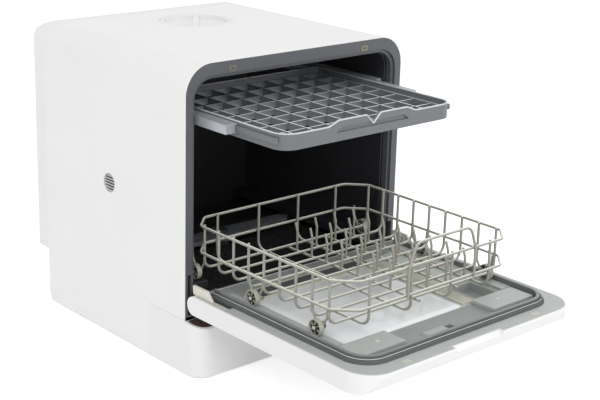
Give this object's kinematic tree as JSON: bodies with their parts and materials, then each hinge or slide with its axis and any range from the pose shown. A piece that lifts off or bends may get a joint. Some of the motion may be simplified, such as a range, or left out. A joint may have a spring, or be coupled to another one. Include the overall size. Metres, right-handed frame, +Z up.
{
  "type": "countertop dishwasher",
  "caption": "Countertop dishwasher with a drop-down door, a wheeled wire rack, a telescopic upper tray, a spray arm, a lift-out filter and a top fill cap, drawn with the door open.",
  "frame": {"origin": "on the worktop under the middle of the front frame, on the underside of the front foot strip", "axes": "+X to the right seen from the front, +Y to the back, +Z up"},
  "size_m": [0.42, 0.7866, 0.456],
  "materials": {
    "white_shell": "satin painted steel",
    "white_plastic": "fine satin moulded plastic",
    "frame_grey": "fine matt moulded plastic",
    "liner_grey": "satin moulded plastic",
    "cheek_beige": "satin moulded plastic",
    "smoked_strip": "glossy smoked touch strip",
    "tub_black": "satin dark moulded tub",
    "dark_plastic": "matt moulded plastic",
    "gasket": "matt soft seal",
    "rubber": "matt rubber",
    "window": "satin pale panel",
    "latch_metal": "brushed",
    "steel": "brushed",
    "wire_coat": "smooth nylon coat on steel wire",
    "wheel": "satin moulded plastic",
    "tray_grey": "satin moulded plastic",
    "rail_grey": "satin rail",
    "tank": "translucent moulded tank",
    "board": "solder mask",
    "pump": "moulded pump body"
  },
  "bodies": {
    "cabinet": {"outer_shell": "white_shell", "rear_panel": "white_shell", "rear_cover": "white_plastic", "cover_screws": "steel", "plinth": "white_plastic", "base_pan": "steel", "feet": "rubber", "control_strip": "smoked_strip", "control_board": "board", "front_frame": "frame_grey", "latch_plates": "latch_metal", "wash_tub": "tub_black", "tub_back": "tub_black", "tub_bottom": "tub_black", "wheel_tracks": "tub_black", "filter_plate": "dark_plastic", "sump": "dark_plastic", "spray_post": "dark_plastic", "vent_grille": "liner_grey", "drying_fan": "dark_plastic", "fill_port": "liner_grey", "water_tank": "tank", "circulation_pump": "pump", "drain_pump": "pump", "water_heater": "steel", "supply_pipe": "dark_plastic", "inlet_spigot": "white_plastic", "drain_spigot": "dark_plastic", "cord_inlet": "dark_plastic", "hinge_brackets": "steel", "hinge_pins": "steel", "tray_fixed_rails": "rail_grey"},
    "door": {"door_shell": "white_plastic", "door_liner": "liner_grey", "door_rim": "liner_grey", "door_tracks": "liner_grey", "door_gasket": "gasket", "door_window": "window", "detergent_cup": "dark_plastic", "hinge_cheeks": "cheek_beige", "door_catches": "latch_metal"},
    "rack_link": {"rack_sleeves": "dark_plastic"},
    "rack": {"rack_rails": "wire_coat", "rack_cross_wires": "wire_coat", "rack_long_wires": "wire_coat", "rack_tines": "wire_coat", "rack_handle": "wire_coat", "rack_axles": "wheel"},
    "tray_slides": {"tray_middle_rails": "rail_grey"},
    "tray": {"tray_frame": "tray_grey", "tray_grid": "tray_grey"},
    "spray_arm": {"spray_arm": "tray_grey"},
    "filter_cup": {"filter_cup": "dark_plastic"},
    "fill_cap": {"fill_cap": "white_plastic"},
    "wheel_left_front": {"wheel_left_front": "wheel"},
    "wheel_left_middle": {"wheel_left_middle": "wheel"},
    "wheel_left_rear": {"wheel_left_rear": "wheel"},
    "wheel_right_front": {"wheel_right_front": "wheel"},
    "wheel_right_middle": {"wheel_right_middle": "wheel"},
    "wheel_right_rear": {"wheel_right_rear": "wheel"}
  },
  "joints": [
    {"name": "door_hinge", "type": "hinge", "parent": "cabinet", "child": "door", "pos_m": [0, -0.023, 0.106], "axis": [-1, 0, 0], "range_deg": [0, 90]},
    {"name": "rack_link_slide", "type": "slide", "parent": "door", "child": "rack_link", "axis": [0, 0.9569, 0.2903], "range_m": [0, 0.18162]},
    {"name": "rack_level", "type": "hinge", "parent": "rack_link", "child": "rack", "pos_m": [0, -0.233, 0.1423], "axis": [-1, 0, 0], "range_deg": [-90, 0]},
    {"name": "tray_middle_slide", "type": "slide", "parent": "cabinet", "child": "tray_slides", "axis": [0, 1, 0], "range_m": [0, 0.0846]},
    {"name": "tray_slide", "type": "slide", "parent": "tray_slides", "child": "tray", "axis": [0, 1, 0], "range_m": [0, 0.0846]},
    {"name": "spray_arm_spin", "type": "hinge", "parent": "cabinet", "child": "spray_arm", "pos_m": [0, 0.1825, 0.1215], "axis": [0, 0, 1], "continuous": true},
    {"name": "filter_cup_lift", "type": "slide", "parent": "cabinet", "child": "filter_cup", "axis": [0, 0, 1], "range_m": [0, 0.03]},
    {"name": "fill_cap_lift", "type": "slide", "parent": "cabinet", "child": "fill_cap", "axis": [0, 0, 1], "range_m": [0, 0.04]},
    {"name": "wheel_left_front_spin", "type": "hinge", "parent": "rack", "child": "wheel_left_front", "pos_m": [-0.169, -0.233, 0.1423], "axis": [1, 0, 0], "continuous": true},
    {"name": "wheel_left_middle_spin", "type": "hinge", "parent": "rack", "child": "wheel_left_middle", "pos_m": [-0.169, -0.102, 0.1423], "axis": [1, 0, 0], "continuous": true},
    {"name": "wheel_left_rear_spin", "type": "hinge", "parent": "rack", "child": "wheel_left_rear", "pos_m": [-0.169, 0.029, 0.1423], "axis": [1, 0, 0], "continuous": true},
    {"name": "wheel_right_front_spin", "type": "hinge", "parent": "rack", "child": "wheel_right_front", "pos_m": [0.169, -0.233, 0.1423], "axis": [1, 0, 0], "continuous": true},
    {"name": "wheel_right_middle_spin", "type": "hinge", "parent": "rack", "child": "wheel_right_middle", "pos_m": [0.169, -0.102, 0.1423], "axis": [1, 0, 0], "continuous": true},
    {"name": "wheel_right_rear_spin", "type": "hinge", "parent": "rack", "child": "wheel_right_rear", "pos_m": [0.169, 0.029, 0.1423], "axis": [1, 0, 0], "continuous": true}
  ],
  "couplings": [
    {"joint": "rack_link_slide", "follows": "door_hinge", "m_per_rad": 0.11556},
    {"joint": "rack_level", "follows": "door_hinge", "ratio": -1},
    {"joint": "tray_middle_slide", "follows": "door_hinge", "m_per_rad": 0.053794},
    {"joint": "tray_slide", "follows": "door_hinge", "m_per_rad": 0.053794}
  ]
}
